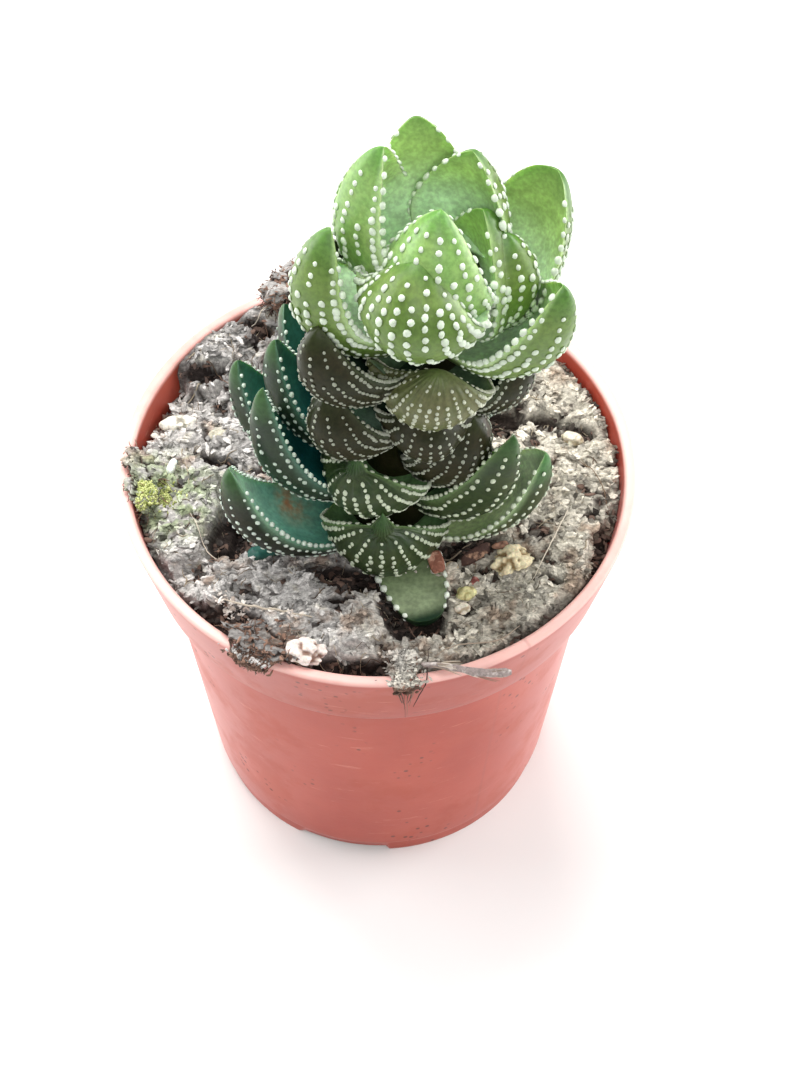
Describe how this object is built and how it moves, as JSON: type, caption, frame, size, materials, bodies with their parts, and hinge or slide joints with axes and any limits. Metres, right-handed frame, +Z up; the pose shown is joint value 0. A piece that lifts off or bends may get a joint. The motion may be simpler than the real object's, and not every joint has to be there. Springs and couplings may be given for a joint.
{
  "type": "potted haworthia",
  "caption": "Small haworthia with thick pointed white-dotted leaves stacked up a leaning stem, in potting mix in a tapered nursery pot with a collar.",
  "frame": {"origin": "middle of the pot's foot, on the ground", "axes": "+Z up along the pot's axis, -Y towards the viewer of the reference view, +X to its right"},
  "size_m": [0.085, 0.085, 0.152],
  "materials": {
    "pot": "thin terracotta-coloured moulded plastic, slightly satin, with dirt specks and scuffs",
    "soil": "dry fibrous potting mix",
    "leaf": "fleshy waxy green leaf with raised white tubercles",
    "white_stone": "rough mineral",
    "pale_grit": "rough mineral",
    "yellow_grit": "rough crumbly mineral",
    "bark": "raw bark",
    "twig": "weathered grey twig"
  },
  "bodies": {
    "root": {"pot": "pot", "soil": "soil", "leafy_stem": "leaf", "stone_white": "white_stone", "stone_flake": "white_stone", "stone_pale": "pale_grit", "crumb_yellow": "yellow_grit", "grit_yellow": "yellow_grit", "grit_pale": "pale_grit", "chunk_pale": "pale_grit", "bark_inner": "bark", "bark_outer": "bark", "twig": "twig"}
  },
  "joints": []
}
